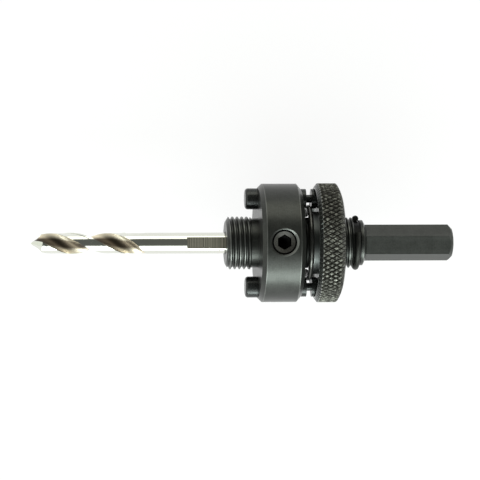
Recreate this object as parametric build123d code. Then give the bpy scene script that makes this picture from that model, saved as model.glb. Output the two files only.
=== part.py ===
"""Hole saw arbor with pilot drill, sliding drive pins and knurled nut.

Millimetres. The arbor's axis is X: the drill points towards -X and the hex shank towards +X.
The origin is on the axis, in the flange's front face, where the saw's back plate seats.
The set screw is on the +Z side and the two drive pins lie on the Y axis.
"""
import os
from math import cos, radians, sin, sqrt, tan

from build123d import *

# Nose and flange of the mandrel
nose_thread_d = 15.875
nose_length = 9.7
nose_chamfer_radial = 1.45
nose_chamfer_axial = 0.9
nose_relief_length = 2.15
nose_relief_depth = 0.54
flange_thickness = 12.9
flange_front_chamfer = 1.27
flange_rear_chamfer_axial = 1.3
flange_rear_chamfer_radial = 1.6

# Rear stem, snap ring groove, collar and hex shank of the mandrel
stem_step = 0.3375
stem_length = 15.86
stem_shoulder = 1.5
stem_end_chamfer = 0.4
collar_step = 0.77
collar_length = 1.1
collar_taper = 1.1
hex_across_flats = 9.525
hex_length = 27.82
hex_turn = 10.0
hex_chamfer_axial = 1.3
hex_chamfer_radial = 1.3
hex_dome_height = 0.6

# Pilot drill
drill_d = 6.35
drill_length = 82.5
drill_reach = 58.5
drill_point_length = 3.4
drill_flute_length = 34.6
drill_flute_lead = 34.3
drill_web = 1.5
drill_flute_angle = 108.0
drill_flute_start_angle = -6.0
drill_body_clearance = 0.14
drill_margin_angle = 14.0
drill_run_out_r = 9.0
drill_run_out_sections = 9
flute_run_out_overrun = 1.12
drill_flat_depth = 0.49
drill_flat_reach = 11.7
drill_end_chamfer = 0.4
bore_clearance = 0.05
bore_end_gap = 1.9
bore_end_half_angle = 59.0
bore_mouth_chamfer = 0.3

# Set screw
screw_d = 7.4
screw_clearance = 0.05
screw_recess = 1.0
screw_socket_across_flats = 4.0
screw_socket_depth = 4.2
screw_chamfer = 0.38
screw_tip_chamfer = 0.8
screw_countersink = 0.75
screw_hole_overrun = 1.0

# Drive pins and their clip
pin_d = 6.35
pin_thread_gap = 2.1375
pin_rim_wall = 1.375
pin_reach = 3.75
pin_nose_rounding = 0.9
pin_clearance = 0.05
pin_rear_step = 0.2
pin_seat_depth = 3.6
pin_rear_reach = 1.73
pin_neck_d = 2.4
pin_head_length = 1.72
pin_head_chamfer = 0.25
clip_wire_d = 1.5
clip_end_play = 0.1
clip_neck_gap = 0.6
clip_gap_angle = 104.0

# Knurled nut
nut_thread_clearance = 0.05
nut_hub_clip_gap = 0.55
nut_hub_overlap = 0.08
nut_head_gap = 0.09
nut_head_side_gap = 0.1
nut_recess_depth = 0.97
nut_rim_land = 0.2
nut_front_chamfer_axial = 1.0
nut_front_chamfer_radial = 1.38
nut_rim_width = 5.38
nut_rear_rounding_axial = 2.0
nut_rear_rounding_radial = 4.8
nut_rear_fullness = 0.29
nut_mouth_chamfer = 0.5

# Snap ring behind the rear thread
ring_wire_d = 1.7
ring_stand_out = 0.6
ring_gap_start = 22.0
ring_gap_end = 80.0
ring_groove_clearance = 0.05

# Reach of a cut past the face that it opens
overcut = 1.0

# Radii and places that follow from the sizes above
nose_r = nose_thread_d / 2
stem_r = nose_r - stem_step
collar_r = stem_r - collar_step
drill_r = drill_d / 2
bore_r = drill_r + bore_clearance
pin_r = pin_d / 2
pin_rear_r = pin_r - pin_rear_step
pin_offset = nose_r + pin_thread_gap + pin_r
flange_r = pin_offset + pin_r + pin_rim_wall
pin_neck_r = pin_neck_d / 2
clip_mean_r = pin_offset - pin_neck_r - clip_neck_gap - clip_wire_d / 2

drill_tip_x = -nose_length - drill_reach
drill_end_x = drill_tip_x + drill_length
bore_end_x = drill_end_x + bore_end_gap
drill_flat_z = drill_r - drill_flat_depth

flute_depth = drill_r - drill_web / 2
flute_rim_half_width = drill_r * sin(radians(drill_flute_angle / 2))
flute_rim_height = drill_r * cos(radians(drill_flute_angle / 2)) - drill_web / 2
flute_r = (flute_rim_half_width**2 + flute_rim_height**2) / (2 * flute_rim_height)
flute_centre_r = drill_web / 2 + flute_r
run_out_length = sqrt(2 * drill_run_out_r * flute_depth - flute_depth**2)
run_out_x = drill_tip_x + drill_flute_length - run_out_length

screw_x = flange_thickness / 2
neck_x = flange_thickness + pin_rear_reach
head_x = neck_x + clip_wire_d + clip_end_play
pin_end_x = head_x + pin_head_length
clip_x = neck_x + clip_wire_d / 2

nut_floor_x = pin_end_x + nut_head_gap
nut_front_x = nut_floor_x - nut_recess_depth
nut_hub_x = clip_x + clip_wire_d / 2 - nut_hub_overlap
nut_hub_r = clip_mean_r - clip_wire_d / 2 - nut_hub_clip_gap
nut_recess_r = pin_offset + pin_rear_r + nut_head_side_gap
nut_land_r = nut_recess_r + nut_rim_land
nut_r = nut_land_r + nut_front_chamfer_radial
nut_rim_x = nut_front_x + nut_front_chamfer_axial
nut_shoulder_x = nut_rim_x + nut_rim_width
nut_rear_x = nut_shoulder_x + nut_rear_rounding_axial

groove_x = flange_thickness + stem_length
groove_width = ring_wire_d + 2 * ring_groove_clearance
ring_x = groove_x + groove_width / 2
ring_mean_r = stem_r + ring_stand_out - ring_wire_d / 2
groove_r = ring_mean_r - ring_wire_d / 2
collar_x = groove_x + groove_width
collar_end_x = collar_x + collar_length
hex_end_x = collar_end_x + hex_length
hex_corner_r = hex_across_flats / sqrt(3)


def turned(*outline):
    """Solid of revolution about X from a closed outline of (x, radius) points."""
    return revolve(make_face(Polyline(*outline, close=True)), Axis.X, 360)


def along_x(x, y=0.0, z=0.0):
    """Plane across the axis at x, with its own x along +Y and its own y along +Z."""
    return Plane(origin=(x, y, z), x_dir=(0, 1, 0), z_dir=(1, 0, 0))


def wire_ring(x, mean_r, wire_d, gap_start, gap_end):
    """Open round-wire ring about X; angles run from the +Z side towards the +Y side."""
    start = 90 - gap_start
    sweep = 360 - (gap_end - gap_start)
    section = Plane(
        origin=(x, mean_r * cos(radians(start)), mean_r * sin(radians(start))),
        x_dir=(1, 0, 0),
        z_dir=(0, -sin(radians(start)), cos(radians(start))),
    ) * Circle(wire_d / 2)
    return revolve(section, Axis.X, sweep)


def make_mandrel():
    """Threaded nose, flange, rear stem, snap ring groove, collar and hex shank in one piece."""
    relief_r = nose_r - nose_relief_depth
    body = turned(
        (-nose_length, 0),
        (-nose_length, nose_r - nose_chamfer_radial),
        (-nose_length + nose_chamfer_axial, nose_r),
        (-nose_relief_length, nose_r),
        (-nose_relief_length, relief_r),
        (0, relief_r),
        (0, flange_r - flange_front_chamfer),
        (flange_front_chamfer, flange_r),
        (flange_thickness - flange_rear_chamfer_axial, flange_r),
        (flange_thickness, flange_r - flange_rear_chamfer_radial),
        (flange_thickness, stem_r + stem_shoulder),
        (flange_thickness + stem_shoulder, stem_r),
        (groove_x - stem_end_chamfer, stem_r),
        (groove_x, stem_r - stem_end_chamfer),
        (groove_x, groove_r),
        (collar_x, groove_r),
        (collar_x, collar_r),
        (collar_end_x, collar_r),
        (collar_end_x + collar_taper, hex_across_flats / 2),
        (collar_end_x + collar_taper, 0),
    )
    body += make_hex_shank()
    body -= make_drill_bore()
    body -= make_screw_hole()
    for side in (-1, 1):
        centre = along_x(0, side * pin_offset)
        body -= extrude(centre * Circle(pin_rear_r + pin_clearance), flange_thickness)
        body -= extrude(centre * Circle(pin_r + pin_clearance), pin_seat_depth)
    return body


def make_hex_shank():
    """Hexagonal shank with a turned chamfer and a low dome on its end."""
    hexagon = along_x(collar_end_x) * RegularPolygon(
        hex_across_flats / 2, 6, major_radius=False, rotation=hex_turn
    )
    prism = extrude(hexagon, hex_length)
    dome_r = hex_corner_r - hex_chamfer_radial
    dome_x = hex_end_x - hex_dome_height
    chamfer_x = dome_x - hex_chamfer_axial
    dome = TangentArc((hex_end_x, 0), (dome_x, dome_r), tangent=(0, 1))
    sides = Polyline(
        (dome_x, dome_r),
        (chamfer_x, hex_corner_r),
        (collar_end_x, hex_corner_r),
        (collar_end_x, 0),
        (hex_end_x, 0),
    )
    envelope = revolve(make_face([dome, sides]), Axis.X, 360)
    return prism & envelope


def make_drill_bore():
    """Blind bore for the drill, with a drilled cone at its end and a chamfered mouth."""
    cone_length = bore_r / tan(radians(bore_end_half_angle))
    return turned(
        (-nose_length - overcut, 0),
        (-nose_length - overcut, bore_r + bore_mouth_chamfer + overcut),
        (-nose_length + bore_mouth_chamfer, bore_r),
        (bore_end_x, bore_r),
        (bore_end_x + cone_length, 0),
    )


def make_screw_hole():
    """Radial hole from the bore to the flange's rim, countersunk at the rim."""
    hole_r = screw_d / 2 + screw_clearance
    floor_z = drill_flat_z - screw_hole_overrun
    sink_z = flange_r - screw_countersink
    sink_depth = screw_countersink + overcut
    outline = Polyline(
        (0, floor_z),
        (hole_r, floor_z),
        (hole_r, sink_z),
        (hole_r + sink_depth, sink_z + sink_depth),
        (0, sink_z + sink_depth),
        close=True,
    )
    return Pos(screw_x, 0, 0) * revolve(Plane.XZ * make_face(outline), Axis.Z, 360)


def sector(radius, start, sweep):
    """Pie slice of a disc, from angle start through sweep degrees."""
    reach = 2 * radius
    edges = [start, start + sweep]
    corners = [(reach * cos(radians(a)), reach * sin(radians(a))) for a in edges]
    return Circle(radius) & make_face(Polyline((0, 0), *corners, close=True))


def make_drill_section():
    """Two-fluted section: relieved lands, a full-width margin on each, and two round flutes."""
    section = Circle(drill_r - drill_body_clearance)
    for turn in (0, 180):
        edge = turn + drill_flute_angle / 2
        section += sector(drill_r, edge - drill_margin_angle, 2 * drill_margin_angle)
    for turn in (0, 180):
        section -= Rot(0, 0, turn) * Pos(flute_centre_r, 0) * Circle(flute_r)
    return section


def make_flute_run_out(turn):
    """Cut that lifts one flute out of the drill along an arc while it goes on turning."""
    sections = []
    length = run_out_length * flute_run_out_overrun
    for i in range(drill_run_out_sections):
        along = length * i / (drill_run_out_sections - 1)
        lift = drill_run_out_r - sqrt(drill_run_out_r**2 - along**2)
        x = run_out_x + along
        angle = turn + drill_flute_start_angle + 360 * (x - drill_tip_x) / drill_flute_lead
        centre = flute_centre_r + lift
        y = centre * cos(radians(angle))
        z = centre * sin(radians(angle))
        sections.append(along_x(x, y, z) * Circle(flute_r))
    return loft(sections)


def make_fluted_end():
    """Point and fluted part of the drill, as far as the flutes keep their full depth."""
    length = run_out_x - drill_tip_x
    section = along_x(drill_tip_x) * Rot(0, 0, drill_flute_start_angle) * make_drill_section()
    fluted = Solid.extrude_linear_with_rotation(
        section.face(),
        (drill_tip_x, 0, 0),
        (length, 0, 0),
        360 * length / drill_flute_lead,
    )
    point = turned(
        (drill_tip_x, 0),
        (run_out_x, drill_r * length / drill_point_length),
        (run_out_x, 0),
    )
    return fluted & point


def make_pilot_drill():
    """Twist drill: two right-hand flutes that run out into a round shank with a ground flat."""
    shank = turned(
        (run_out_x, 0),
        (run_out_x, drill_r - drill_body_clearance),
        (run_out_x + run_out_length, drill_r),
        (drill_end_x - drill_end_chamfer, drill_r),
        (drill_end_x, drill_r - drill_end_chamfer),
        (drill_end_x, 0),
    )
    for turn in (0, 180):
        shank -= make_flute_run_out(turn)
    flat_x = -nose_length - drill_flat_reach
    flat = Pos(flat_x, 0, drill_flat_z) * Box(
        drill_end_x - flat_x + overcut,
        drill_d,
        drill_d,
        align=(Align.MIN, Align.CENTER, Align.MIN),
    )
    return make_fluted_end() + (shank - flat)


def make_set_screw():
    """Socket set screw whose flat tip bears on the drill's flat."""
    body_r = screw_d / 2
    top_z = flange_r - screw_recess
    outline = Polyline(
        (0, drill_flat_z),
        (body_r - screw_tip_chamfer, drill_flat_z),
        (body_r, drill_flat_z + screw_tip_chamfer),
        (body_r, top_z - screw_chamfer),
        (body_r - screw_chamfer, top_z),
        (0, top_z),
        close=True,
    )
    body = revolve(Plane.XZ * make_face(outline), Axis.Z, 360)
    socket = Pos(0, 0, top_z - screw_socket_depth) * RegularPolygon(
        screw_socket_across_flats / 2, 6, major_radius=False, rotation=90
    )
    body -= extrude(socket, screw_socket_depth)
    return Pos(screw_x, 0, 0) * body


def make_drive_pin(side):
    """Stepped pin: a wide front end, a neck for the clip and a head that the nut pushes."""
    nose = RadiusArc(
        (-pin_reach, pin_r - pin_nose_rounding),
        (-pin_reach + pin_nose_rounding, pin_r),
        pin_nose_rounding,
    )
    sides = Polyline(
        nose @ 1,
        (0, pin_r),
        (0, pin_rear_r),
        (neck_x, pin_rear_r),
        (neck_x, pin_neck_r),
        (head_x, pin_neck_r),
        (head_x, pin_rear_r),
        (pin_end_x - pin_head_chamfer, pin_rear_r),
        (pin_end_x, pin_rear_r - pin_head_chamfer),
        (pin_end_x, 0),
        (-pin_reach, 0),
        nose @ 0,
    )
    pin = revolve(make_face([nose, sides]), Axis.X, 360)
    return Pos(0, side * pin_offset, 0) * pin


def make_pin_clip():
    """Open wire clip in the necks of both pins; it keeps them from falling out forwards."""
    gap_start = 180 - clip_gap_angle / 2
    return wire_ring(clip_x, clip_mean_r, clip_wire_d, gap_start, gap_start + clip_gap_angle)


def make_snap_ring():
    """Open wire ring that stops the nut behind the rear thread."""
    return wire_ring(ring_x, ring_mean_r, ring_wire_d, ring_gap_start, ring_gap_end)


def make_knurled_nut():
    """Round nut with a hub, a recess for the pin heads, a front chamfer and a rounded rear."""
    bore = stem_r + nut_thread_clearance
    mouth = nut_mouth_chamfer
    rear_r = nut_r - nut_rear_rounding_radial
    rounding = Bezier(
        (nut_shoulder_x, nut_r),
        (nut_shoulder_x + nut_rear_fullness * nut_rear_rounding_axial, nut_r),
        (nut_rear_x, rear_r + nut_rear_fullness * nut_rear_rounding_radial),
        (nut_rear_x, rear_r),
    )
    sides = Polyline(
        (nut_rear_x, rear_r),
        (nut_rear_x, bore + mouth),
        (nut_rear_x - mouth, bore),
        (nut_hub_x + mouth, bore),
        (nut_hub_x, bore + mouth),
        (nut_hub_x, nut_hub_r),
        (nut_floor_x, nut_hub_r),
        (nut_floor_x, nut_recess_r),
        (nut_front_x, nut_recess_r),
        (nut_front_x, nut_land_r),
        (nut_rim_x, nut_r),
        (nut_shoulder_x, nut_r),
    )
    return revolve(make_face([rounding, sides]), Axis.X, 360)


def main():
    """Build every piece and write one file for each."""
    pieces = {
        "mandrel": make_mandrel(),
        "pilot_drill": make_pilot_drill(),
        "set_screw": make_set_screw(),
        "drive_pin_1": make_drive_pin(1),
        "drive_pin_2": make_drive_pin(-1),
        "pin_clip": make_pin_clip(),
        "knurled_nut": make_knurled_nut(),
        "snap_ring": make_snap_ring(),
    }
    os.makedirs("parts", exist_ok=True)
    for name, piece in pieces.items():
        export_step(piece, f"parts/{name}.step")
        print(f"{name}: {piece.volume:.1f} mm3")


main()
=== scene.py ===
# %% [markdown]
# # Dressing a hole saw arbor
#
# A hole saw arbor holds a round saw on its threaded nose, with a pilot drill in the middle.
# The solids of the arbor come from the CAD frame. This lesson keeps the drill, the pins, the
# wire clip, the snap ring and the set screw as they are and gives them steel finishes. It adds
# what is better made here: the screw threads of the mandrel and the diamond knurl of the nut.

import math

import bpy
import bmesh
from mathutils import Matrix, Vector


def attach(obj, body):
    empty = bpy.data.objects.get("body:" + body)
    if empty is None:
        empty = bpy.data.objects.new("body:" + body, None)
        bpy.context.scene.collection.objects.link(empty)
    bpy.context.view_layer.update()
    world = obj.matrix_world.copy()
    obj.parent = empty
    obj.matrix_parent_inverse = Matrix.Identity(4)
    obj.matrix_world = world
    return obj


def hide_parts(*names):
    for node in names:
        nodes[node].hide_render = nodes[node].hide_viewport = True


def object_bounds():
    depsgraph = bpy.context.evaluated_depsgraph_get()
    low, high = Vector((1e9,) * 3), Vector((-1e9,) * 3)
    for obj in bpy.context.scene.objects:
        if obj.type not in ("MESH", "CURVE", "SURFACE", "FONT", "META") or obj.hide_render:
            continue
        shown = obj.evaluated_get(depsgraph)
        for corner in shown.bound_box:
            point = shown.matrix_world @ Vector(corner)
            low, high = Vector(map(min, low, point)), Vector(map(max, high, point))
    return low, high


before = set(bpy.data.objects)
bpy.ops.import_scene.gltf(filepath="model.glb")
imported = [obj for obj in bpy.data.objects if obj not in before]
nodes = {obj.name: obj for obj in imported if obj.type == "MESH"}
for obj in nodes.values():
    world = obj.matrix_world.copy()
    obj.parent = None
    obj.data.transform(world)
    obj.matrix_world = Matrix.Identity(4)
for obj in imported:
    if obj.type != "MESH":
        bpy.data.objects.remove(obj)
MM = 0.001
frame_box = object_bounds()
print("Pieces in the frame:", ", ".join(sorted(nodes)))

# %% [markdown]
# ## Where the camera stands
#
# The arbor lies on a white table and the camera looks down on it through a long lens. It stands
# a little to the drill's side, so the near side of the flange seems moved to the right. The
# picture is 144.3 mm wide at the height of the axis, and the arbor lies turned by a fifth of a
# degree in it. The set screw shows that the camera also stands a little in front of the arbor.

# %% Camera
VIEW_WIDTH = 144.3 * MM
VIEW_TURN = math.radians(5.8)
VIEW_PITCH = math.radians(0.7)
VIEW_ROLL = math.radians(0.21)
VIEW_DISTANCE = 1.5
VIEW_CENTRE = Vector((-5.20 * MM, 0.885 * MM, 0.0))
SENSOR_WIDTH = 36.0
NEAREST_SEEN = 0.05
FARTHEST_SEEN = 50.0


def place_camera():
    """Camera above the table, turned towards the drill's side."""
    data = bpy.data.cameras.new("camera")
    data.sensor_width = SENSOR_WIDTH
    data.lens = data.sensor_width * VIEW_DISTANCE / VIEW_WIDTH
    data.clip_start = NEAREST_SEEN
    data.clip_end = FARTHEST_SEEN
    camera = bpy.data.objects.new("camera", data)
    bpy.context.scene.collection.objects.link(camera)
    turned = Matrix.Rotation(-VIEW_TURN, 4, "Y") @ Matrix.Rotation(VIEW_PITCH, 4, "X")
    turned = turned @ Matrix.Rotation(-VIEW_ROLL, 4, "Z")
    towards = turned.to_3x3() @ Vector((0.0, 0.0, 1.0))
    camera.matrix_world = Matrix.Translation(VIEW_CENTRE + VIEW_DISTANCE * towards) @ turned
    bpy.context.scene.camera = camera
    return camera


camera = place_camera()
bpy.context.scene.view_settings.view_transform = "Standard"
print("Lens:", round(camera.data.lens), "mm")

# %% [markdown]
# ## Helpers for nodes
#
# The finishes, the room and the shapes are all built from nodes. Four short helpers keep those
# steps readable: an empty material, a new node, a link or plain value, and a bit of arithmetic.

# %% Node helpers


def new_material(name):
    """Empty node material."""
    material = bpy.data.materials.new(name)
    material.use_nodes = True
    material.node_tree.nodes.clear()
    return material


def add(tree, kind, **settings):
    """Node of this kind, with properties set by name."""
    node = tree.nodes.new(kind)
    for name, value in settings.items():
        setattr(node, name, value)
    return node


def feed(tree, socket, value):
    """Connects a socket to a socket, or sets it to a plain value."""
    if isinstance(value, bpy.types.NodeSocket):
        tree.links.new(value, socket)
    else:
        socket.default_value = value


def calc(tree, operation, *values, clamp=False):
    """Result of a Math node in a shader tree or a geometry tree."""
    node = add(tree, "ShaderNodeMath", operation=operation, use_clamp=clamp)
    for socket, value in zip(node.inputs, values):
        feed(tree, socket, value)
    return node.outputs[0]


print("Node helpers ready")

# %% [markdown]
# ## Table and light
#
# Bright metal shows nothing but its surroundings, so the light is planned as what the steel
# will mirror. Round the table the room is white. Above it, and a little behind, it is dark, as
# above a table where the camera hangs. That gives each round bar its dark stripe along the
# middle. Long soft lamps beside the arbor give the bright stripes: a weak warm one behind it, a
# strong cold one in front, and a weak one above that, which lets the stripe fade upwards.
#
# The table is painted white and keeps the arbor's soft shadow. Seen by the camera, or in the
# steel that mirrors it, most of it glows plain white, so a white ground needs no stronger lamps.

# %% Table
TABLE_GLOW = 0.86
TABLE_PAINT = (0.9, 0.9, 0.9, 1)
TABLE_WHITE = (1, 1, 1, 1)
TABLE_HALF_WIDTH = 3.0
TABLE_HEIGHT = frame_box[0][2]


def table_paint():
    """White paint that mostly glows plain white where it is seen or mirrored."""
    material = new_material("white_table")
    tree = material.node_tree
    rays = add(tree, "ShaderNodeLightPath")
    seen = calc(tree, "ADD", rays.outputs["Is Camera Ray"], rays.outputs["Is Glossy Ray"])
    seen = calc(tree, "ADD", seen, rays.outputs["Is Transmission Ray"], clamp=True)
    paint = add(tree, "ShaderNodeBsdfDiffuse")
    paint.inputs["Color"].default_value = TABLE_PAINT
    white = add(tree, "ShaderNodeEmission")
    white.inputs["Color"].default_value = TABLE_WHITE
    mix = add(tree, "ShaderNodeMixShader")
    feed(tree, mix.inputs[0], calc(tree, "MULTIPLY", seen, TABLE_GLOW))
    feed(tree, mix.inputs[1], paint.outputs[0])
    feed(tree, mix.inputs[2], white.outputs[0])
    out = add(tree, "ShaderNodeOutputMaterial")
    feed(tree, out.inputs["Surface"], mix.outputs[0])
    return material


def make_table():
    """Wide table top that the arbor's lowest point touches."""
    half, z = TABLE_HALF_WIDTH, TABLE_HEIGHT
    corners = [(-half, -half, z), (half, -half, z), (half, half, z), (-half, half, z)]
    mesh = bpy.data.meshes.new("table")
    mesh.from_pydata(corners, [], [(0, 1, 2, 3)])
    mesh.materials.append(table_paint())
    table = bpy.data.objects.new("table", mesh)
    bpy.context.scene.collection.objects.link(table)
    return table


table = make_table()
print("Table at z =", round(TABLE_HEIGHT / MM, 2), "mm")

# %% Room
ROOM_DARK_FROM = math.cos(math.radians(45))
ROOM_DARK_TO = math.cos(math.radians(34))
ROOM_DARK_LEAN = math.radians(9)
ROOM_WHITE = 1.0
ROOM_DARK = 0.12
ROOM_COLOUR = (0.96, 1.0, 0.92, 1)


def make_room():
    """White room, dark above the table."""
    world = bpy.data.worlds.new("room")
    world.use_nodes = True
    bpy.context.scene.world = world
    tree = world.node_tree
    tree.nodes.clear()
    direction = add(tree, "ShaderNodeTexCoord").outputs["Generated"]
    upwards = add(tree, "ShaderNodeVectorMath", operation="DOT_PRODUCT")
    feed(tree, upwards.inputs[0], direction)
    upwards.inputs[1].default_value = (0.0, math.sin(ROOM_DARK_LEAN), math.cos(ROOM_DARK_LEAN))
    height = add(tree, "ShaderNodeMapRange", interpolation_type="SMOOTHSTEP")
    feed(tree, height.inputs["Value"], upwards.outputs["Value"])
    height.inputs["From Min"].default_value = ROOM_DARK_FROM
    height.inputs["From Max"].default_value = ROOM_DARK_TO
    height.inputs["To Min"].default_value = ROOM_WHITE
    height.inputs["To Max"].default_value = ROOM_DARK
    background = add(tree, "ShaderNodeBackground")
    feed(tree, background.inputs["Strength"], height.outputs["Result"])
    background.inputs["Color"].default_value = ROOM_COLOUR
    out = add(tree, "ShaderNodeOutputWorld")
    feed(tree, out.inputs["Surface"], background.outputs[0])


make_room()
print("White room with a dark ceiling")

# %% Lamps
LAMP_AWAY = 0.52
LAMP_LENGTH = 1.1
# Name, side, height, width, glow and colour; side 1 is behind the arbor and -1 in front of it.
LAMPS = [
    ("lamp_behind", 1, 0.24, 0.34, 1.1, (1.0, 0.97, 0.86)),
    ("lamp_front", -1, 0.20, 0.24, 8.8, (0.90, 1.0, 0.97)),
    ("lamp_front_upper", -1, 0.52, 0.30, 1.6, (0.92, 1.0, 1.0)),
]


def place_lamp(name, side, height, width, glow, colour):
    """Long soft lamp beside the arbor, turned towards it; glow is how bright its face is."""
    data = bpy.data.lights.new(name, "AREA")
    data.shape = "RECTANGLE"
    data.size = LAMP_LENGTH
    data.size_y = width
    data.energy = glow * math.pi * LAMP_LENGTH * width
    data.color = colour
    lamp = bpy.data.objects.new(name, data)
    lamp.location = (0.0, side * LAMP_AWAY, height)
    lamp.rotation_euler = (side * (math.atan2(height, LAMP_AWAY) - math.pi / 2), 0.0, 0.0)
    bpy.context.scene.collection.objects.link(lamp)


for lamp in LAMPS:
    place_lamp(*lamp)
print("Lamps:", ", ".join(lamp[0] for lamp in LAMPS))

# %% [markdown]
# ## Finishes
#
# Three effects come back on several pieces, so each is a node group that is built once. Fine
# rings left by turning run round the axis on straight sides and on end faces alike. The black
# oxide is never even: it is a little paler in patches. And it wears off first along the edges,
# where bare steel shows as a thin bright line. The groups read the piece's own coordinates, so
# the pattern stays on the steel when a piece moves.

# %% Effect groups


def new_effect(name, inputs, outputs):
    """Shader node group with named number inputs and outputs."""
    tree = bpy.data.node_groups.new(name, "ShaderNodeTree")
    for label, value in inputs.items():
        socket = tree.interface.new_socket(label, in_out="INPUT", socket_type="NodeSocketFloat")
        socket.default_value = value
    for label in outputs:
        tree.interface.new_socket(label, in_out="OUTPUT", socket_type="NodeSocketFloat")
    entry = add(tree, "NodeGroupInput")
    leave = add(tree, "NodeGroupOutput")
    return tree, entry.outputs, leave.inputs


def place_on_piece(tree):
    """Distance along the axis, distance from it, place and height, all in millimetres."""
    where = add(tree, "ShaderNodeTexCoord").outputs["Object"]
    scaled = add(tree, "ShaderNodeVectorMath", operation="SCALE")
    feed(tree, scaled.inputs[0], where)
    scaled.inputs["Scale"].default_value = 1 / MM
    parts = add(tree, "ShaderNodeSeparateXYZ")
    feed(tree, parts.inputs[0], scaled.outputs[0])
    y, z = parts.outputs["Y"], parts.outputs["Z"]
    square = calc(tree, "ADD", calc(tree, "MULTIPLY", y, y), calc(tree, "MULTIPLY", z, z))
    return parts.outputs["X"], calc(tree, "SQRT", square), scaled.outputs[0], z


def noise_along(tree, value, scale, detail):
    """Noise along one number, from 0 to 1."""
    noise = add(tree, "ShaderNodeTexNoise", noise_dimensions="1D")
    feed(tree, noise.inputs["W"], value)
    noise.inputs["Scale"].default_value = scale
    noise.inputs["Detail"].default_value = detail
    return noise.outputs["Fac"]


def noise_around(tree, where, scale, detail, roughness):
    """Noise in every direction round a place, from 0 to 1."""
    noise = add(tree, "ShaderNodeTexNoise")
    feed(tree, noise.inputs["Vector"], where)
    feed(tree, noise.inputs["Scale"], scale)
    noise.inputs["Detail"].default_value = detail
    noise.inputs["Roughness"].default_value = roughness
    return noise.outputs["Fac"]


def make_turning_group():
    """Rings of turning marks on straight sides and on end faces."""
    tree, size, out = new_effect("turning_marks", {"Marks Per mm": 3.0}, ["Marks"])
    x, r, _, _ = place_on_piece(tree)
    marks = [
        noise_along(tree, calc(tree, "MULTIPLY", way, size["Marks Per mm"]), scale=1.0, detail=2.0)
        for way in (x, r)
    ]
    both = calc(tree, "ADD", *marks)
    feed(tree, out["Marks"], calc(tree, "MULTIPLY", both, 0.5))
    return tree


def make_patch_group():
    """Soft uneven patches, from 0 to 1."""
    tree, size, out = new_effect("uneven_patches", {"Patch Size": 4.0}, ["Patches"])
    _, _, where, _ = place_on_piece(tree)
    scale = calc(tree, "DIVIDE", 1.0, size["Patch Size"])
    feed(tree, out["Patches"], noise_around(tree, where, scale, detail=5.0, roughness=0.65))
    return tree


def make_edge_group():
    """Thin line round the axis, at one place along it and one radius."""
    sizes = {"Along": 0.0, "Radius": 1.0, "Width": 0.2}
    tree, size, out = new_effect("worn_edge", sizes, ["Worn"])
    x, r, _, _ = place_on_piece(tree)
    dx = calc(tree, "SUBTRACT", x, size["Along"])
    dr = calc(tree, "SUBTRACT", r, size["Radius"])
    square = calc(tree, "ADD", calc(tree, "MULTIPLY", dx, dx), calc(tree, "MULTIPLY", dr, dr))
    near = calc(tree, "DIVIDE", calc(tree, "SQRT", square), size["Width"])
    feed(tree, out["Worn"], calc(tree, "SUBTRACT", 1.0, near, clamp=True))
    return tree


turning_marks = make_turning_group()
uneven_patches = make_patch_group()
worn_edge = make_edge_group()


def use(tree, group, **values):
    """Places a node group in a material with its own values."""
    node = add(tree, "ShaderNodeGroup", node_tree=group)
    for label, value in values.items():
        node.inputs[label.replace("_", " ")].default_value = value
    return node.outputs[0]


print("Groups:", turning_marks.name, uneven_patches.name, worn_edge.name)

# %% Material helpers


def blend(tree, share, first, second):
    """Colour between two colours, by a share from 0 to 1."""
    node = add(tree, "ShaderNodeMix", data_type="RGBA")
    inputs = [socket for socket in node.inputs if socket.enabled]
    for socket, value in zip(inputs, (share, first, second)):
        feed(tree, socket, value)
    return [socket for socket in node.outputs if socket.enabled][0]


def between(tree, value, low, high):
    """1 where a value lies between two numbers, and 0 elsewhere."""
    above = calc(tree, "GREATER_THAN", value, low)
    return calc(tree, "MULTIPLY", above, calc(tree, "LESS_THAN", value, high))


def relief(tree, height, strength, depth):
    """Bump node that tilts the surface by a height; depth is what a height of 1 stands for."""
    bump = add(tree, "ShaderNodeBump")
    bump.inputs["Strength"].default_value = strength
    bump.inputs["Distance"].default_value = depth
    feed(tree, bump.inputs["Height"], height)
    return bump


def principled(tree, metallic, **numbers):
    """Principled shader with its plain numbers set on its own sockets."""
    shader = add(tree, "ShaderNodeBsdfPrincipled")
    shader.inputs["Metallic"].default_value = metallic
    for label, value in numbers.items():
        shader.inputs[label.replace("_", " ")].default_value = value
    out = add(tree, "ShaderNodeOutputMaterial")
    feed(tree, out.inputs["Surface"], shader.outputs[0])
    return shader.inputs


print("Material helpers ready")

# %% [markdown]
# ## Blackened steel
#
# All pieces but the drill are blackened in a hot bath, which turns the skin of the steel into
# oxide. It is a thin black layer on metal, so the shader isn't fully metallic: the rest gives
# the soft grey of the layer itself. Handling rubs it through at the edges, on the crests of
# the threads and in tiny specks, and the groove of the snap ring is painted black as shade.
# The shank came out a little paler than the rest, and the edge of the screw's hole carries a
# painted highlight, brighter on the side towards the shank.
# The set screw's face slopes down to its socket, which a bump gives well enough at this size.
# The socket and a thin ring round the face are painted black as shade.

# %% Oxide layer
PATCH_SIZE = 3.0
GRAIN_SIZE = 0.4
PATCH_SHARE = 0.7
RING_SHARE = 0.5
GRAIN_SHARE = 1.1
DARK_SHARE = 0.65
SHANK_PALER = 0.30
SPECK_SIZE = 0.3
SPECK_CONTRAST = 7.0
SPECK_START = -4.6
SPECK_SHARE = 0.5


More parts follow.
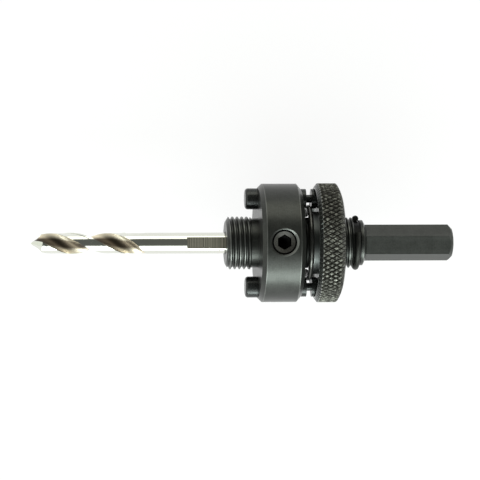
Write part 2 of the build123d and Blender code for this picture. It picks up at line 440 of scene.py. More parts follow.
def oxide_layer(tree, x, patches, marks, shank):
    """How pale the layer is, from 0 to 1: patches, turning marks and grain together."""
    rings = use(tree, turning_marks, Marks_Per_mm=marks)
    grain = use(tree, uneven_patches, Patch_Size=GRAIN_SIZE)
    rings = calc(tree, "MULTIPLY", rings, RING_SHARE)
    pale = calc(tree, "MULTIPLY_ADD", patches, PATCH_SHARE, rings)
    pale = calc(tree, "MULTIPLY_ADD", grain, GRAIN_SHARE, pale)
    if shank:
        paler = calc(tree, "MULTIPLY", calc(tree, "GREATER_THAN", x, shank), SHANK_PALER)
        pale = calc(tree, "ADD", pale, paler)
    return calc(tree, "SUBTRACT", pale, DARK_SHARE, clamp=True)


def worn_specks(tree):
    """Share of bare steel in tiny specks all over the piece."""
    specks = use(tree, uneven_patches, Patch_Size=SPECK_SIZE)
    specks = calc(tree, "MULTIPLY_ADD", specks, SPECK_CONTRAST, SPECK_START, clamp=True)
    return calc(tree, "MULTIPLY", specks, SPECK_SHARE)


print("Grain of", GRAIN_SIZE, "mm on patches of", PATCH_SIZE, "mm")

# %% Wear, and painted shade in grooves


def worn_line(tree, patches, along, radius, width, share):
    """Share of bare steel along one edge, broken by the patches, which lie round one half."""
    line = use(tree, worn_edge, Along=along, Radius=radius, Width=width)
    return calc(tree, "MULTIPLY", line, calc(tree, "MULTIPLY", patches, 2 * share), clamp=True)


def worn_crest(tree, x, r, patches, start, end, radius, width):
    """Share of bare steel on the crests of a thread, which fades towards its grooves."""
    rise = calc(tree, "DIVIDE", calc(tree, "SUBTRACT", r, radius - width), width, clamp=True)
    rise = calc(tree, "MULTIPLY", rise, between(tree, x, start, end))
    return calc(tree, "MULTIPLY", rise, patches, clamp=True)


def painted_groove_shade(tree, x, r, start, end, radius):
    """1 in a groove between two places, inside a radius, where shade is painted black."""
    inside = calc(tree, "LESS_THAN", r, radius)
    return calc(tree, "MULTIPLY", between(tree, x, start, end), inside)


# The near-black put into the grooves is painted shade.
print("Wear on edges and crests, oil in hollows")

# %% Round the set screw
SCREW_PLACE = 6.45
HOLE_EDGE = 4.35
HOLE_EDGE_HEIGHT = 15.0
# Painted highlight on the edge of the screw's hole, growing towards the shank.
HOLE_HIGHLIGHT = 0.16
HOLE_HIGHLIGHT_PER_MM = 0.14
# The last two sizes mark where the socket and the face's outer ring are painted black as shade.
SCREW_DISH = {"slope": 0.42, "shade_below": 16.3, "shade_beyond": 3.2}


def from_screw_axis(tree, where):
    """Distance from the upright axis of the set screw, in millimetres."""
    apart = add(tree, "ShaderNodeVectorMath", operation="SUBTRACT")
    feed(tree, apart.inputs[0], where)
    apart.inputs[1].default_value = (SCREW_PLACE, 0.0, 0.0)
    flat = add(tree, "ShaderNodeVectorMath", operation="MULTIPLY")
    feed(tree, flat.inputs[0], apart.outputs[0])
    flat.inputs[1].default_value = (1.0, 1.0, 0.0)
    away = add(tree, "ShaderNodeVectorMath", operation="LENGTH")
    feed(tree, away.inputs[0], flat.outputs[0])
    return away.outputs["Value"]


def hole_edge_highlight(tree, x, z, away):
    """Share of a painted highlight on the edge of the screw's hole, brighter towards the shank."""
    # The edge of the hole gets a painted highlight, stronger on the shank's side.
    edge = calc(tree, "LESS_THAN", away, HOLE_EDGE)
    edge = calc(tree, "MULTIPLY", edge, calc(tree, "GREATER_THAN", z, HOLE_EDGE_HEIGHT))
    beside = calc(tree, "SUBTRACT", x, SCREW_PLACE)
    brightening = calc(tree, "MULTIPLY_ADD", beside, HOLE_HIGHLIGHT_PER_MM, HOLE_HIGHLIGHT)
    return calc(tree, "MULTIPLY", edge, brightening, clamp=True)


def painted_socket_shade(tree, z, away, dish):
    """1 where shade is painted black: down in the screw's socket and round the outside of its
    face.
    """
    deep = calc(tree, "LESS_THAN", z, dish["shade_below"])
    return calc(tree, "MAXIMUM", deep, calc(tree, "GREATER_THAN", away, dish["shade_beyond"]))


print("Set screw at x =", SCREW_PLACE, "mm")

# %% Blackened steel
OXIDE_METALLIC = 0.76
OXIDE_GLOSS = 0.25
# Bare steel where the oxide is worn, also the colour of the painted highlight at the screw's hole.
BARE_STEEL_AND_HIGHLIGHT = (0.20, 0.205, 0.195, 1)
# Near-black painted as shade in the snap ring's groove.
RING_GROOVE_SHADE = (0.004, 0.004, 0.004, 1)
# Black painted as shade in the screw's socket and round its face.
SOCKET_SHADE_BLACK = (0.003, 0.003, 0.003, 1)
ROUGHNESS_SPAN = 0.16
ROUGHNESS_BELOW = 0.06
GRAIN_STRENGTH = 0.25
GRAIN_DEPTH = 0.02 * MM


def black_steel(
    name, dark, pale, rough, edges=(), marks=3.0, crests=(), hollows=(), shank=None, dish=None
):
    """Black oxide on turned steel: worn along edges and crests, dark with oil in hollows.

    Behind the place called shank the layer is paler, and a highlight is painted on the edge of the
    screw's hole.
    A dish makes the flat face of the set screw slope down to its socket, and the socket and a
    thin ring round the face are painted black as shade.
    """
    material = new_material(name)
    tree = material.node_tree
    x, r, where, z = place_on_piece(tree)
    patches = use(tree, uneven_patches, Patch_Size=PATCH_SIZE)
    layer = oxide_layer(tree, x, patches, marks, shank)
    colour = blend(tree, layer, dark, pale)
    bare = [worn_specks(tree)]
    bare += [worn_line(tree, patches, *edge) for edge in edges]
    bare += [worn_crest(tree, x, r, patches, *crest) for crest in crests]
    for share in bare:
        colour = blend(tree, share, colour, BARE_STEEL_AND_HIGHLIGHT)
    # Grooves are painted near-black as shade.
    for hollow in hollows:
        colour = blend(tree, painted_groove_shade(tree, x, r, *hollow), colour, RING_GROOVE_SHADE)
    bump = relief(tree, layer, GRAIN_STRENGTH, GRAIN_DEPTH)
    if shank:
        away = from_screw_axis(tree, where)
        # Painted highlight on the edge of the screw's hole.
        colour = blend(tree, hole_edge_highlight(tree, x, z, away), colour, BARE_STEEL_AND_HIGHLIGHT)
    if dish:
        away = from_screw_axis(tree, where)
        # Socket and outer ring of the screw's face painted black as shade.
        colour = blend(tree, painted_socket_shade(tree, z, away, dish), colour, SOCKET_SHADE_BLACK)
        dished = relief(tree, calc(tree, "MULTIPLY", away, dish["slope"]), 1.0, MM)
        feed(tree, bump.inputs["Normal"], dished.outputs[0])
    inputs = principled(tree, OXIDE_METALLIC, Specular_IOR_Level=OXIDE_GLOSS)
    feed(tree, inputs["Base Color"], colour)
    roughness = calc(tree, "MULTIPLY_ADD", layer, ROUGHNESS_SPAN, rough - ROUGHNESS_BELOW)
    feed(tree, inputs["Roughness"], roughness)
    feed(tree, inputs["Normal"], bump.outputs[0])
    return material


# Edges: place along the axis, radius, width of the line and how far it is worn.
MANDREL_EDGES = [
    (-9.7, 6.49, 0.2, 0.6),
    (1.27, 17.8, 0.22, 0.5),
    (11.6, 17.8, 0.25, 0.6),
    (12.9, 16.2, 0.22, 0.6),
    (31.66, 6.83, 0.25, 0.35),
]
# Crests: start, end, radius and how deep the wear reaches. Groove: start, end and radius.
THREAD_CRESTS = [(-9.7, -3.0, 7.9, 0.22), (15.5, 28.0, 7.55, 0.16)]
# The snap ring's groove, painted dark as shade.
RING_GROOVE = (28.7, 30.9, 7.3)
SHANK_START = 32.6
mandrel_black = black_steel(
    "mandrel_black_oxide", (0.022, 0.023, 0.021, 1), (0.062, 0.064, 0.060, 1), 0.30,
    MANDREL_EDGES, crests=THREAD_CRESTS, hollows=[RING_GROOVE], shank=SHANK_START
)
pin_black = black_steel(
    "pin_black_oxide", (0.015, 0.016, 0.016, 1), (0.062, 0.064, 0.063, 1), 0.25
)
screw_black = black_steel(
    "screw_black_oxide", (0.020, 0.0195, 0.018, 1), (0.075, 0.073, 0.068, 1), 0.24,
    marks=6.0, dish=SCREW_DISH
)
wire_black = black_steel(
    "wire_black", (0.040, 0.040, 0.038, 1), (0.12, 0.12, 0.112, 1), 0.20, marks=2.0
)
ring_black = black_steel(
    "ring_black", (0.009, 0.009, 0.008, 1), (0.034, 0.034, 0.031, 1), 0.46, marks=2.0
)
print("Blackened steel finishes ready")

# %% [markdown]
# ## Bright drill steel
#
# The drill is the only bright piece. Its lands and shank are ground round, so the fine lines run
# round it. The flutes are rougher and have a warm tint, with shade painted dark towards their
# bottom. The flat that the set screw bears on is ground crosswise and looks duller. The finish
# finds the flutes by their depth, where the surface lies well inside the drill's round outline.

# %% Drill steel
POINT_TIP = -68.2
POINT_BACK = -64.8
POINT_RADIUS = 3.175
LAND_INSIDE = 3.02
FLUTE_EDGE = 0.10
FLUTE_END = -33.2
# Between these two radii painted shade darkens the flutes towards their bottom.
FLUTE_SHADE_FROM = 2.85
FLUTE_SHADE_TO = 1.15
FLAT_HEIGHT = 2.66
FLAT_START = -21.45
FLAT_GRAIN_SCALE = 3.5
FLAT_GRAIN_CONTRAST = 2.6
FLAT_GRAIN_START = -0.8
LAND_MARKS = 9.0
FLUTE_PATCH_SIZE = 2.0
LAND_COLOURS = ((0.66, 0.66, 0.60, 1), (0.86, 0.87, 0.81, 1))
FLUTE_COLOURS = ((0.56, 0.47, 0.37, 1), (0.86, 0.79, 0.65, 1))
# Painted shade at the bottom of the flutes.
FLUTE_BOTTOM_SHADE = (0.060, 0.047, 0.034, 1)
FLAT_COLOURS = ((0.085, 0.078, 0.062, 1), (0.33, 0.305, 0.25, 1))
DRILL_ROUGHNESS = 0.08
RINGS_ROUGHER = 0.08
FLUTE_ROUGHER = 0.30
FLAT_ROUGHER = 0.18
FLAT_LESS_METALLIC = 0.45


def flute_share(tree, x, r):
    """1 in the flutes and 0 on the lands, the point's cone and the shank."""
    cone = calc(tree, "SUBTRACT", x, POINT_TIP)
    cone = calc(tree, "MULTIPLY", cone, POINT_RADIUS / (POINT_BACK - POINT_TIP))
    outer = calc(tree, "MINIMUM", calc(tree, "SUBTRACT", cone, FLUTE_EDGE), LAND_INSIDE)
    share = calc(tree, "DIVIDE", calc(tree, "SUBTRACT", outer, r), FLUTE_EDGE, clamp=True)
    return calc(tree, "MULTIPLY", share, calc(tree, "LESS_THAN", x, FLUTE_END))


def flute_colour(tree, r):
    """Warm tint in patches, with shade painted dark towards the bottom of the flute."""
    patches = use(tree, uneven_patches, Patch_Size=FLUTE_PATCH_SIZE)
    bottom = add(tree, "ShaderNodeMapRange", interpolation_type="SMOOTHSTEP")
    feed(tree, bottom.inputs["Value"], r)
    bottom.inputs["From Min"].default_value = FLUTE_SHADE_FROM
    bottom.inputs["From Max"].default_value = FLUTE_SHADE_TO
    tint = blend(tree, patches, *FLUTE_COLOURS)
    # Painted shade towards the bottom of the flute.
    return blend(tree, bottom.outputs["Result"], tint, FLUTE_BOTTOM_SHADE)


def flat_colour(tree, x):
    """Dull steel with the lines of crosswise grinding."""
    grain = noise_along(tree, x, FLAT_GRAIN_SCALE, detail=3.0)
    grain = calc(tree, "MULTIPLY_ADD", grain, FLAT_GRAIN_CONTRAST, FLAT_GRAIN_START, clamp=True)
    return blend(tree, grain, *FLAT_COLOURS)


def drill_steel():
    """Ground steel: bright lands, brownish flutes, a duller flat."""
    material = new_material("drill_ground_steel")
    tree = material.node_tree
    x, r, _, z = place_on_piece(tree)
    rings = use(tree, turning_marks, Marks_Per_mm=LAND_MARKS)
    in_flute = flute_share(tree, x, r)
    on_flat = calc(tree, "GREATER_THAN", z, FLAT_HEIGHT)
    on_flat = calc(tree, "MULTIPLY", on_flat, calc(tree, "GREATER_THAN", x, FLAT_START))
    colour = blend(tree, rings, *LAND_COLOURS)
    colour = blend(tree, in_flute, colour, flute_colour(tree, r))
    colour = blend(tree, on_flat, colour, flat_colour(tree, x))
    inputs = principled(tree, 1.0)
    feed(tree, inputs["Base Color"], colour)
    feed(tree, inputs["Metallic"], calc(tree, "MULTIPLY_ADD", on_flat, -FLAT_LESS_METALLIC, 1.0))
    rough = calc(tree, "MULTIPLY_ADD", rings, RINGS_ROUGHER, DRILL_ROUGHNESS)
    rough = calc(tree, "MULTIPLY_ADD", in_flute, FLUTE_ROUGHER, rough)
    rough = calc(tree, "MULTIPLY_ADD", on_flat, FLAT_ROUGHER, rough)
    feed(tree, inputs["Roughness"], rough)
    return material


drill_bright = drill_steel()
print("Drill finish:", drill_bright.name)

# %% Put the finishes on
FINISHES = {
    "snap_ring": ring_black,
    "pin_clip": wire_black,
    "drive_pin_1": pin_black,
    "drive_pin_2": pin_black,
    "set_screw": screw_black,
    "pilot_drill": drill_bright,
}
for name, finish in FINISHES.items():
    nodes[name].data.materials.clear()
    nodes[name].data.materials.append(finish)
print("Finishes on", ", ".join(sorted(FINISHES)))

# %% [markdown]
# ## Helpers for shapes that follow a rule
#
# A screw thread and a knurl follow simple rules, so Geometry Nodes make them. Each tree gets
# its sizes as named inputs, in millimetres, and the result is turned into a plain mesh.

# %% Geometry Nodes helpers
JOIN_WITHIN = 1e-7


def new_shape_tree(name, sizes):
    """Geometry tree with a geometry input and one named input for each size."""
    tree = bpy.data.node_groups.new(name, "GeometryNodeTree")
    sockets = tree.interface
    sockets.new_socket("Geometry", in_out="INPUT", socket_type="NodeSocketGeometry")
    for label in sizes:
        sockets.new_socket(label, in_out="INPUT", socket_type="NodeSocketFloat")
    sockets.new_socket("Geometry", in_out="OUTPUT", socket_type="NodeSocketGeometry")
    entry = add(tree, "NodeGroupInput")
    leave = add(tree, "NodeGroupOutput")
    return tree, entry.outputs, leave.inputs["Geometry"]


def end_tree(tree, geometry, material, result):
    """Last steps of a tree: real geometry that wears its finish."""
    real = add(tree, "GeometryNodeRealizeInstances")
    feed(tree, real.inputs[0], geometry)
    paint = add(tree, "GeometryNodeSetMaterial")
    feed(tree, paint.inputs["Geometry"], real.outputs[0])
    paint.inputs["Material"].default_value = material
    feed(tree, result, paint.outputs[0])


def run_tree(obj, tree, sizes):
    """Plain mesh that the tree makes from this object with these sizes."""
    modifier = obj.modifiers.new(tree.name, "NODES")
    modifier.node_group = tree
    for item in tree.interface.items_tree:
        if item.in_out == "INPUT" and item.name in sizes:
            modifier[item.identifier] = float(sizes[item.name])
    graph = bpy.context.evaluated_depsgraph_get()
    mesh = bpy.data.meshes.new_from_object(obj.evaluated_get(graph))
    obj.modifiers.remove(modifier)
    return mesh


def new_piece(name, mesh):
    """Object at the origin with this mesh."""
    piece = bpy.data.objects.new(name, mesh)
    bpy.context.scene.collection.objects.link(piece)
    return piece


def merged_copy(node, name):
    """Copy of a frame piece with its loose triangles joined."""
    mesh = nodes[node].data.copy()
    shape = bmesh.new()
    shape.from_mesh(mesh)
    bmesh.ops.remove_doubles(shape, verts=shape.verts, dist=JOIN_WITHIN)
    shape.to_mesh(mesh)
    shape.free()
    return new_piece(name, mesh)


print("Shape helpers ready")

# %% [markdown]
# ## Screw threads
#
# The nose carries a coarse right-hand thread for the saw, and the stem behind the flange a
# finer one for the nut. On the real mandrel a threading tool cuts a V-shaped groove along a
# helix. The same is done here: a curve is wound round the axis, a four-sided groove profile is
# swept along it, and the result is cut out of the mandrel.

# %% Groove cutter
GROOVE_SIZES = {
    "Start": 0.0,
    "Pitch": 1.0,
    "Turns": 1.0,
    "Steps": 72.0,
    "Phase": 0.0,
    "Root Radius": 1.0,
    "Depth": 1.0,
    "Root Width": 0.2,
    "Mouth Width": 1.0,
    "Run Out": 0.0,
}
RUN_OUT_TURNS = 0.5
CUTTER_JOIN_WITHIN = 1e-8


def make_groove_tree():
    """Tree that sweeps a thread groove along a right-hand helix round X."""
    tree, size, result = new_shape_tree("thread_groove", GROOVE_SIZES)
    line = add(tree, "GeometryNodeCurvePrimitiveLine")
    points = add(tree, "GeometryNodeResampleCurve")
    feed(tree, points.inputs["Curve"], line.outputs[0])
    count = calc(tree, "MULTIPLY", size["Turns"], size["Steps"])
    feed(tree, points.inputs["Count"], count)
    along = add(tree, "GeometryNodeSplineParameter").outputs["Factor"]
    turned = calc(tree, "MULTIPLY", along, size["Turns"])
    angle = calc(tree, "MULTIPLY", turned, math.tau)
    angle = calc(tree, "ADD", angle, size["Phase"])
    place = calc(tree, "MULTIPLY_ADD", turned, size["Pitch"], size["Start"])
    left = calc(tree, "SUBTRACT", size["Turns"], turned)
    lift = add(tree, "ShaderNodeMapRange")
    feed(tree, lift.inputs["Value"], left)
    lift.inputs["From Min"].default_value = 0.0
    lift.inputs["From Max"].default_value = RUN_OUT_TURNS
    feed(tree, lift.inputs["To Min"], size["Run Out"])
    lift.inputs["To Max"].default_value = 0.0
    radius = calc(tree, "MULTIPLY_ADD", size["Depth"], 0.5, size["Root Radius"])
    radius = calc(tree, "ADD", radius, lift.outputs["Result"])
    outwards = add(tree, "ShaderNodeCombineXYZ")
    feed(tree, outwards.inputs["Y"], calc(tree, "COSINE", angle))
    feed(tree, outwards.inputs["Z"], calc(tree, "SINE", angle))
    reach = add(tree, "ShaderNodeVectorMath", operation="SCALE")
    feed(tree, reach.inputs[0], outwards.outputs[0])
    feed(tree, reach.inputs["Scale"], radius)
    axial = add(tree, "ShaderNodeCombineXYZ")
    feed(tree, axial.inputs["X"], place)
    spot = add(tree, "ShaderNodeVectorMath", operation="ADD")
    feed(tree, spot.inputs[0], axial.outputs[0])
    feed(tree, spot.inputs[1], reach.outputs[0])
    wound = add(tree, "GeometryNodeSetPosition")
    feed(tree, wound.inputs["Geometry"], points.outputs["Curve"])
    feed(tree, wound.inputs["Position"], spot.outputs[0])
    facing = add(tree, "GeometryNodeSetCurveNormal")
    facing.mode = "FREE"
    feed(tree, facing.inputs["Curve"], wound.outputs[0])
    feed(tree, facing.inputs["Normal"], outwards.outputs[0])
    profile = add(tree, "GeometryNodeCurvePrimitiveQuadrilateral", mode="TRAPEZOID")
    feed(tree, profile.inputs["Bottom Width"], size["Root Width"])
    feed(tree, profile.inputs["Top Width"], size["Mouth Width"])
    feed(tree, profile.inputs["Height"], size["Depth"])
    profile.inputs["Offset"].default_value = 0.0
    upright = add(tree, "GeometryNodeTransform")
    feed(tree, upright.inputs["Geometry"], profile.outputs[0])
    upright.inputs["Rotation"].default_value = (0, 0, -math.pi / 2)
    sweep = add(tree, "GeometryNodeCurveToMesh")
    feed(tree, sweep.inputs["Curve"], facing.outputs[0])
    feed(tree, sweep.inputs["Profile Curve"], upright.outputs[0])
    sweep.inputs["Fill Caps"].default_value = True
    small = add(tree, "GeometryNodeTransform")
    feed(tree, small.inputs["Geometry"], sweep.outputs[0])
    small.inputs["Scale"].default_value = (MM, MM, MM)
    end_tree(tree, small.outputs[0], mandrel_black, result)
    return tree


groove_tree = make_groove_tree()
print("Groove tree with inputs", ", ".join(GROOVE_SIZES))

# %% Two groove cutters


def make_cutter(name, sizes):
    """Solid groove of a thread, ready to be cut out of the mandrel."""
    seed = new_piece(name, bpy.data.meshes.new(name))
    mesh = run_tree(seed, groove_tree, {**GROOVE_SIZES, **sizes})
    seed.data = mesh
    shape = bmesh.new()
    shape.from_mesh(mesh)
    bmesh.ops.remove_doubles(shape, verts=shape.verts, dist=CUTTER_JOIN_WITHIN)
    bmesh.ops.recalc_face_normals(shape, faces=shape.faces)
    shape.to_mesh(mesh)
    shape.free()
    return seed


nose_cutter = make_cutter("nose_groove", {
    "Start": -11.084,
    "Pitch": 1.411,
    "Turns": 6.5,
    "Root Radius": 7.15,
    "Depth": 0.95,
    "Root Width": 0.25,
    "Mouth Width": 1.34,
    "Run Out": 0.3,
})
stem_cutter = make_cutter("stem_groove", {
    "Start": 15.05,
    "Pitch": 1.25,
    "Turns": 11.6,
    "Root Radius": 6.9,
    "Depth": 0.85,
    "Root Width": 0.22,
    "Mouth Width": 1.19,
})
for cutter in (nose_cutter, stem_cutter):
    radii = [math.hypot(v.co.y, v.co.z) / MM for v in cutter.data.vertices]
    xs = [v.co.x / MM for v in cutter.data.vertices]
    print(cutter.name, "radius", round(min(radii), 3), "to", round(max(radii), 3),
          "x", round(min(xs), 2), "to", round(max(xs), 2), len(cutter.data.polygons), "faces")

# %% Cut the threads
THREAD_CREASE = 28


def cut(piece, cutter):
    """Takes the cutter's volume out of the piece and removes the cutter."""
    modifier = piece.modifiers.new("cut", "BOOLEAN")
    modifier.operation = "DIFFERENCE"
    modifier.solver = "EXACT"
    modifier.object = cutter
    graph = bpy.context.evaluated_depsgraph_get()
    mesh = bpy.data.meshes.new_from_object(piece.evaluated_get(graph))
    piece.modifiers.remove(modifier)
    piece.data = mesh
    bpy.data.objects.remove(cutter)


def smooth_but_edges(piece, degrees):
    """Smooth shading, with a crease wherever two faces meet at more than this angle."""
    mesh = piece.data
    mesh.polygons.foreach_set("use_smooth", [True] * len(mesh.polygons))
    if "custom_normal" in mesh.attributes:
        mesh.attributes.remove(mesh.attributes["custom_normal"])
    mesh.set_sharp_from_angle(angle=math.radians(degrees))


threaded_mandrel = merged_copy("mandrel", "threaded_mandrel")
before = len(threaded_mandrel.data.polygons)
cut(threaded_mandrel, nose_cutter)
cut(threaded_mandrel, stem_cutter)
smooth_but_edges(threaded_mandrel, THREAD_CREASE)
print("Mandrel faces:", before, "then", len(threaded_mandrel.data.polygons))

# %% [markdown]
# ## Knurled nut
#
# The nut is turned by hand, so its rim carries a diamond knurl: two sets of grooves that wind
# round it in opposite directions and leave small flat-topped pyramids. The nut is turned here
# from its outline with eight steps to each diamond, and a Geometry Nodes tree then presses the
# grooves in. The grooves run exactly along the mesh's own diagonals, so they stay crisp.

# %% Nut outline
DIAMONDS_AROUND = 75
DIAMOND_STEPS = 8
DIAMOND_LENGTH = 2.69
ROW_STEP = DIAMOND_LENGTH / DIAMOND_STEPS
KNURL_START = 18.07
STRAIGHT_RIM_ROWS = 16
REAR_ROUNDING_ROWS = 12
NUT_RADIUS = 17.9
NUT_REAR = 25.45
REAR_ROUNDING_LENGTH = 2.0
REAR_ROUNDING_DEPTH = 4.8
REAR_FULLNESS = 0.29
KNURL_FADE_START = 24.5
KNURL_FADE_END = 25.2
NUT_FRONT_OUTLINE = [
    (NUT_REAR, 8.15),
    (NUT_REAR - 0.5, 7.65),
    (16.55, 7.65),
    (16.05, 8.15),
    (16.05, 9.40),
    (18.04, 9.40),
    (18.04, 16.325),
    (17.07, 16.325),
    (17.07, 16.525),
]


def rear_rounding(t):
    """Point (x, radius) of the smooth curve from the rim, at t = 0, to the rear face, at t = 1."""
    start = NUT_REAR - REAR_ROUNDING_LENGTH
    end = NUT_RADIUS - REAR_ROUNDING_DEPTH
    corners = [
        (start, NUT_RADIUS),
        (start + REAR_FULLNESS * REAR_ROUNDING_LENGTH, NUT_RADIUS),
        (NUT_REAR, end + REAR_FULLNESS * REAR_ROUNDING_DEPTH),
        (NUT_REAR, end),
    ]
    weights = [(1 - t) ** 3, 3 * t * (1 - t) ** 2, 3 * t * t * (1 - t), t**3]
    x = sum(w * corner[0] for w, corner in zip(weights, corners))
    r = sum(w * corner[1] for w, corner in zip(weights, corners))
    return x, r


def nut_outline():
    """Closed outline of the nut as (x, radius, share of the knurl), in millimetres."""
    outline = [(x, r, 0.0) for x, r in NUT_FRONT_OUTLINE]
    for row in range(STRAIGHT_RIM_ROWS + 1):
        outline.append((KNURL_START + row * ROW_STEP, NUT_RADIUS, 1.0))
    for row in range(1, REAR_ROUNDING_ROWS + 1):
        x, r = rear_rounding(row / REAR_ROUNDING_ROWS)
        fade = (KNURL_FADE_END - x) / (KNURL_FADE_END - KNURL_FADE_START)
        outline.append((x, r, min(1.0, max(0.0, fade))))
    return outline


def turn_outline(name, outline, segments):
    """Mesh of a closed outline turned round X, with triangles set for the knurl."""
    points = []
    shares = []
    for x, r, share in outline:
        for i in range(segments):
            angle = math.tau * i / segments
            points.append((x * MM, r * MM * math.cos(angle), r * MM * math.sin(angle)))
            shares.append(share)
    faces = []
    rows = len(outline)
    for j in range(rows):
        for i in range(segments):
            a = j * segments + i
            b = j * segments + (i + 1) % segments
            c = (j + 1) % rows * segments + (i + 1) % segments
            d = (j + 1) % rows * segments + i
            if (i + j) % 2:
                faces += [(a, b, d), (b, c, d)]
            else:
                faces += [(a, b, c), (a, c, d)]
    mesh = bpy.data.meshes.new(name)
    mesh.from_pydata(points, [], faces)
    attribute = mesh.attributes.new("knurl_share", "FLOAT", "POINT")
    attribute.data.foreach_set("value", shares)
    mesh.update()
    return mesh


outline = nut_outline()
print("Nut outline:", len(outline), "points, knurl from", KNURL_START, "mm")

# %% [markdown]
# ## The knurl's two uses
#
# The same grooves are needed twice: the finish has to know where they are, because they are
# painted black, as oxide that stays unworn and as painted shade, while the tops of the diamonds
# wear bright, and the mesh is pressed in along them. So their sizes are written once, and one
# helper serves both trees. On a real nut two small hardened wheels press the knurl, and here
# too the second one presses a little less deep, so its grooves also get a little less shade.

# %% Knurl grooves
KNURL_GROOVE_SIZES = {
    "Diamonds Around": float(DIAMONDS_AROUND),
    "Diamond Length": DIAMOND_LENGTH,
    "Start": KNURL_START,
    "Groove Share": 0.25,
    "Second Wheel": 0.85,
}


def crossed_grooves(tree, size, position):
    """Depth of two crossed sets of V grooves, from 0 to 1, and the angle round the axis."""
    parts = add(tree, "ShaderNodeSeparateXYZ")
    feed(tree, parts.inputs[0], position)
    x = calc(tree, "DIVIDE", parts.outputs["X"], MM)
    angle = calc(tree, "ARCTAN2", parts.outputs["Z"], parts.outputs["Y"])
    around = calc(tree, "MULTIPLY", calc(tree, "DIVIDE", angle, math.tau), size["Diamonds Around"])
    along = calc(tree, "DIVIDE", calc(tree, "SUBTRACT", x, size["Start"]), size["Diamond Length"])
    deep = []
    for way in ("ADD", "SUBTRACT"):
        turn = calc(tree, way, around, along)
        off = calc(tree, "ABSOLUTE", calc(tree, "SUBTRACT", turn, calc(tree, "ROUND", turn)))
        flank = calc(tree, "DIVIDE", off, size["Groove Share"], clamp=True)
        deep.append(calc(tree, "SUBTRACT", 1.0, flank))
    shallow = calc(tree, "MULTIPLY", deep[1], size["Second Wheel"])
    return calc(tree, "MAXIMUM", deep[0], shallow), angle


def make_knurl_mask_group():
    """How deep a spot lies in the crossed grooves: 1 in the bottom, 0 on a diamond's top."""
    tree, size, out = new_effect("knurl_grooves", KNURL_GROOVE_SIZES, ["Groove"])
    where = add(tree, "ShaderNodeTexCoord").outputs["Object"]
    groove, _ = crossed_grooves(tree, size, where)
    feed(tree, out["Groove"], groove)
    return tree


knurl_grooves = make_knurl_mask_group()
print("Knurl:", DIAMONDS_AROUND, "diamonds around, each", DIAMOND_LENGTH, "mm long")

# %% [markdown]
# ## Nut finish
#
# The nut wears the same black oxide, but hands rub it the most. The diamonds' tops are worn
# and painted with uneven glints, their grooves are painted black as oxide and shade, and the
# smooth hub is painted a lighter grey than its oxide, which stands in for its highlights.

# %% Nut finish
RIM_INSIDE = 15.0
RIM_START = 18.1
HUB_OUTSIDE = 10.5
HUB_END = 18.2
# Edges: place along the axis, radius and width of the line.
NUT_EDGES = [(KNURL_START, NUT_RADIUS, 0.22), (17.07, 16.5, 0.15)]
NUT_EDGE_WEAR = 0.2
NUT_COLOURS = ((0.022, 0.023, 0.022, 1), (0.056, 0.059, 0.056, 1))
# The hub painted lighter than its oxide, to stand in for its highlights.
HUB_LIT_COLOURS = ((0.12, 0.127, 0.125, 1), (0.20, 0.212, 0.206, 1))
# Tops of the diamonds: dark oxide, and pale where wear and painted glints show.
TOP_WEAR_AND_GLINT_COLOURS = ((0.042, 0.041, 0.036, 1), (0.30, 0.30, 0.265, 1))
# Oxide in the knurl's grooves, painted darker as shade.
KNURL_GROOVE_OXIDE_AND_SHADE = (0.012, 0.011, 0.009, 1)
GLINT_SCALE = 1.1
GLINT_CONTRAST = 4.2
GLINT_START = -1.95
GROOVE_CONTRAST = 1.5
GROOVE_START = -0.25
NUT_PATCH_SIZE = 2.0
NUT_MARKS = 3.0
WORN_NUT_EDGE = (0.30, 0.30, 0.29, 1)
NUT_ROUGHNESS = 0.12
RIM_ROUGHER = 0.45
HUB_ROUGHER = 0.19
PATCHES_ROUGHER = 0.08


def knurl_colour(tree, where):
    """Tops worn and painted with uneven glints, with grooves painted black as oxide and shade."""
    groove = use(tree, knurl_grooves)
    # Painted glints: random pale spots on the tops, partly wear.
    glint = noise_around(tree, where, GLINT_SCALE, detail=4.0, roughness=0.75)
    glint = calc(tree, "MULTIPLY_ADD", glint, GLINT_CONTRAST, GLINT_START, clamp=True)
    # Grooves painted black as unworn oxide and as shade.
    shade = calc(tree, "MULTIPLY_ADD", groove, GROOVE_CONTRAST, GROOVE_START, clamp=True)
    return blend(tree, shade, blend(tree, glint, *TOP_WEAR_AND_GLINT_COLOURS), KNURL_GROOVE_OXIDE_AND_SHADE)


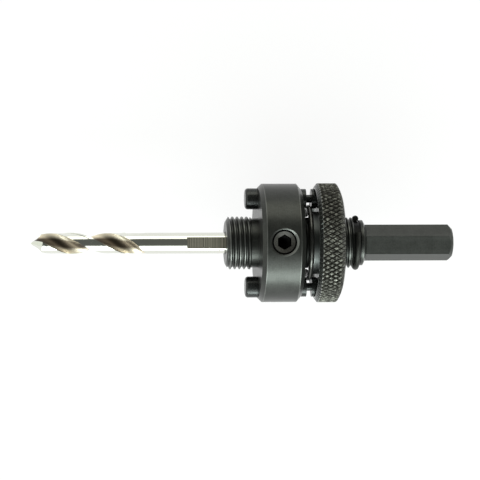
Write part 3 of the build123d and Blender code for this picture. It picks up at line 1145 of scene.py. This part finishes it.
def nut_steel():
    """Black oxide, worn on the diamonds, dull in their grooves, and painted lighter on the smooth
    hub.
    """
    material = new_material("nut_black_oxide")
    tree = material.node_tree
    x, r, where, _ = place_on_piece(tree)
    patches = use(tree, uneven_patches, Patch_Size=NUT_PATCH_SIZE)
    rings = use(tree, turning_marks, Marks_Per_mm=NUT_MARKS)
    on_rim = calc(tree, "GREATER_THAN", r, RIM_INSIDE)
    on_rim = calc(tree, "MULTIPLY", on_rim, calc(tree, "GREATER_THAN", x, RIM_START))
    on_hub = calc(tree, "LESS_THAN", r, HUB_OUTSIDE)
    on_hub = calc(tree, "MULTIPLY", on_hub, calc(tree, "LESS_THAN", x, HUB_END))
    colour = blend(tree, rings, *NUT_COLOURS)
    # The hub gets a lighter colour that stands in for its highlights.
    colour = blend(tree, on_hub, colour, blend(tree, rings, *HUB_LIT_COLOURS))
    colour = blend(tree, on_rim, colour, knurl_colour(tree, where))
    for along, radius, width in NUT_EDGES:
        line = use(tree, worn_edge, Along=along, Radius=radius, Width=width)
        brightening = calc(tree, "ADD", patches, NUT_EDGE_WEAR)
        line = calc(tree, "MULTIPLY", line, brightening, clamp=True)
        colour = blend(tree, line, colour, WORN_NUT_EDGE)
    inputs = principled(tree, OXIDE_METALLIC, Specular_IOR_Level=OXIDE_GLOSS)
    feed(tree, inputs["Base Color"], colour)
    metallic = calc(tree, "MULTIPLY_ADD", on_hub, 1.0 - OXIDE_METALLIC, OXIDE_METALLIC)
    feed(tree, inputs["Metallic"], metallic)
    rough = calc(tree, "MULTIPLY_ADD", on_rim, RIM_ROUGHER, NUT_ROUGHNESS)
    rough = calc(tree, "MULTIPLY_ADD", on_hub, HUB_ROUGHER, rough)
    feed(tree, inputs["Roughness"], calc(tree, "MULTIPLY_ADD", patches, PATCHES_ROUGHER, rough))
    return material


nut_black = nut_steel()
print("Nut finish:", nut_black.name)

# %% Press the knurl
KNURL_SIZES = {**KNURL_GROOVE_SIZES, "Groove Depth": 0.40}
KNURL_CREASE = 24


def make_knurl_tree():
    """Tree that presses crossed grooves into the rim, where the share says so."""
    tree, size, result = new_shape_tree("diamond_knurl", KNURL_SIZES)
    position = add(tree, "GeometryNodeInputPosition").outputs[0]
    groove, angle = crossed_grooves(tree, size, position)
    depth = calc(tree, "MULTIPLY", groove, size["Groove Depth"])
    share = add(tree, "GeometryNodeInputNamedAttribute", data_type="FLOAT")
    share.inputs["Name"].default_value = "knurl_share"
    depth = calc(tree, "MULTIPLY", depth, share.outputs["Attribute"])
    inwards = add(tree, "ShaderNodeCombineXYZ")
    push = calc(tree, "MULTIPLY", depth, -MM)
    feed(tree, inwards.inputs["Y"], calc(tree, "MULTIPLY", push, calc(tree, "COSINE", angle)))
    feed(tree, inwards.inputs["Z"], calc(tree, "MULTIPLY", push, calc(tree, "SINE", angle)))
    move = add(tree, "GeometryNodeSetPosition")
    feed(tree, move.inputs["Geometry"], size["Geometry"])
    feed(tree, move.inputs["Offset"], inwards.outputs[0])
    end_tree(tree, move.outputs[0], nut_black, result)
    return tree


nut_blank = turn_outline("nut_blank", outline, DIAMONDS_AROUND * DIAMOND_STEPS)
knurled_rim_nut = new_piece("knurled_rim_nut", nut_blank)
knurled_rim_nut.data = run_tree(knurled_rim_nut, make_knurl_tree(), KNURL_SIZES)
smooth_but_edges(knurled_rim_nut, KNURL_CREASE)
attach(knurled_rim_nut, "nut")
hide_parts("knurled_nut")
print("Knurled nut:", len(knurled_rim_nut.data.polygons), "triangles")

# %% [markdown]
# ## Fit the pieces
#
# The threaded mandrel takes the place of the plain one and rides on its body, so that it moves
# with whatever is fixed to it. Threads and knurl are only cut inwards, so the arbor does not grow.

# %% Dress the mandrel
threaded_mandrel.data.materials.clear()
threaded_mandrel.data.materials.append(mandrel_black)
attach(threaded_mandrel, "mandrel")
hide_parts("mandrel")
print("Threaded mandrel:", len(threaded_mandrel.data.polygons), "faces")
